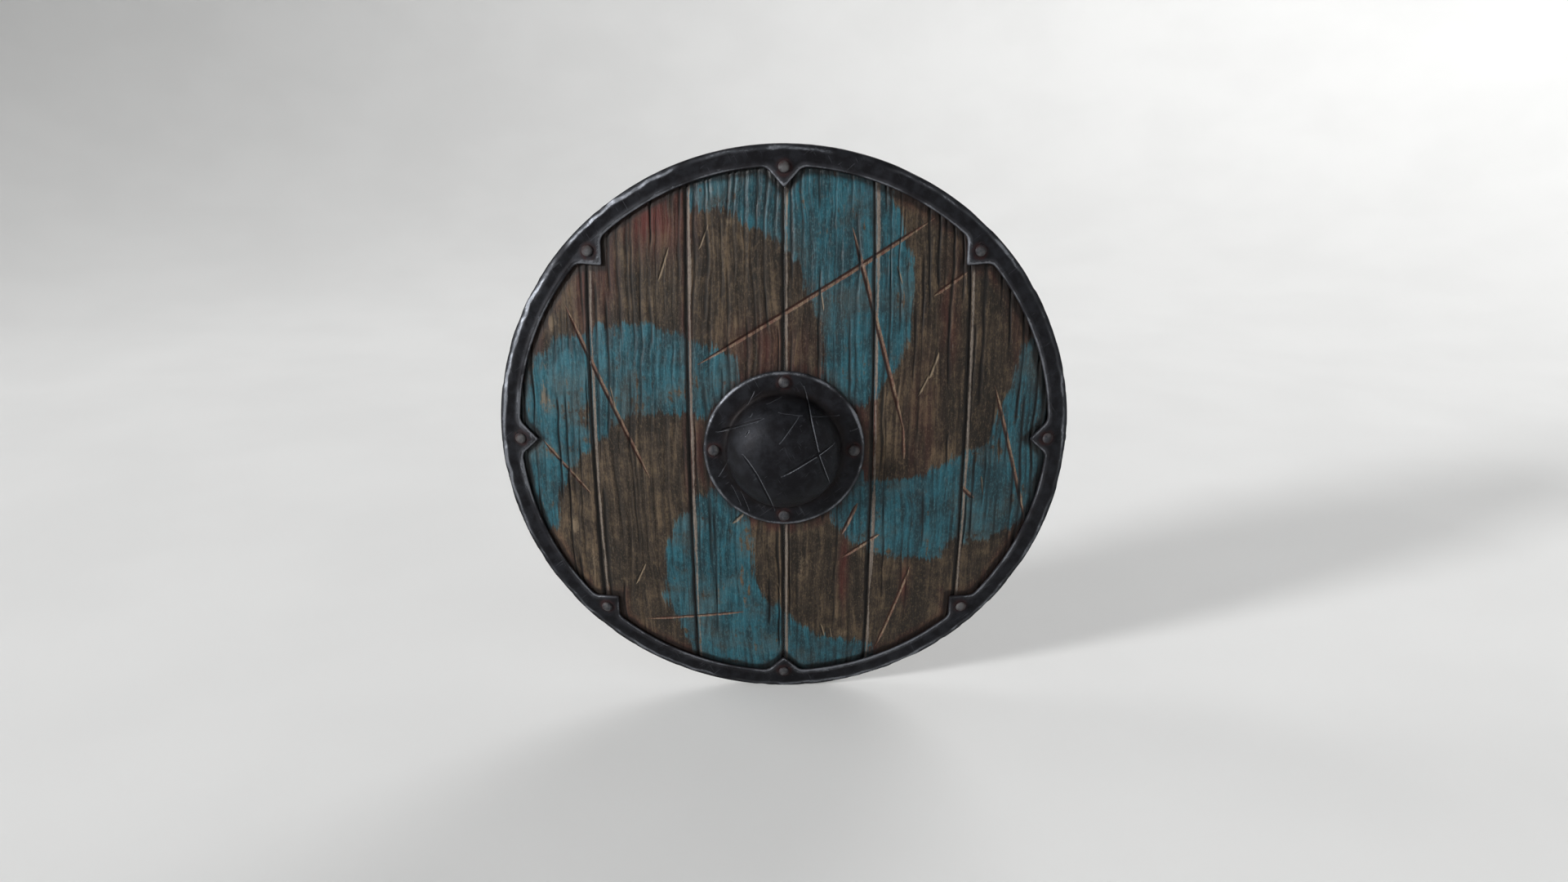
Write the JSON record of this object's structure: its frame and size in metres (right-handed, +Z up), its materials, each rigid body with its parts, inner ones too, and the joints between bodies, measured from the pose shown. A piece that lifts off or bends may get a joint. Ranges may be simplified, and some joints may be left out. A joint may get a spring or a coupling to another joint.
{
  "type": "viking round shield",
  "caption": "Round wooden shield dished forward, with upright boards, a lugged and riveted iron rim, a hollow iron boss and a hand grip across the back.",
  "frame": {"origin": "the middle of the hand grip, on the axis of the boss", "axes": "+Z up as the shield is held, the face looks along -Y, and +Y points back to the bearer"},
  "size_m": [0.64, 0.1124, 0.64],
  "materials": {
    "board_wood": "weathered, cracked grain, with worn teal paint on the face",
    "batten_wood": "planed, darkened by handling",
    "iron": "forged black, with edges worn pale",
    "rivet_iron": "worn grey",
    "nail_iron": "dull, rust-tinged",
    "leather": "dark brown, stitched"
  },
  "bodies": {
    "root": {"batten_lower": "batten_wood", "batten_upper": "batten_wood", "board_1": "board_wood", "board_2": "board_wood", "board_3": "board_wood", "board_4": "board_wood", "board_5": "board_wood", "board_6": "board_wood", "boss_rivet_e": "rivet_iron", "boss_rivet_n": "rivet_iron", "boss_rivet_s": "rivet_iron", "boss_rivet_w": "rivet_iron", "boss_rove_e": "nail_iron", "boss_rove_n": "nail_iron", "boss_rove_s": "nail_iron", "boss_rove_w": "nail_iron", "grip_sleeve": "leather", "handle_batten": "batten_wood", "iron_rim": "iron", "nail_handle_1": "nail_iron", "nail_handle_2": "nail_iron", "nail_handle_5": "nail_iron", "nail_handle_6": "nail_iron", "nail_lower_1": "nail_iron", "nail_lower_2": "nail_iron", "nail_lower_3": "nail_iron", "nail_lower_4": "nail_iron", "nail_lower_5": "nail_iron", "nail_lower_6": "nail_iron", "nail_upper_1": "nail_iron", "nail_upper_2": "nail_iron", "nail_upper_3": "nail_iron", "nail_upper_4": "nail_iron", "nail_upper_5": "nail_iron", "nail_upper_6": "nail_iron", "rim_rivet_e": "rivet_iron", "rim_rivet_n": "rivet_iron", "rim_rivet_ne": "rivet_iron", "rim_rivet_nw": "rivet_iron", "rim_rivet_s": "rivet_iron", "rim_rivet_se": "rivet_iron", "rim_rivet_sw": "rivet_iron", "rim_rivet_w": "rivet_iron", "rim_rove_e": "nail_iron", "rim_rove_n": "nail_iron", "rim_rove_ne": "nail_iron", "rim_rove_nw": "nail_iron", "rim_rove_s": "nail_iron", "rim_rove_se": "nail_iron", "rim_rove_sw": "nail_iron", "rim_rove_w": "nail_iron", "shield_boss": "iron"}
  },
  "joints": []
}
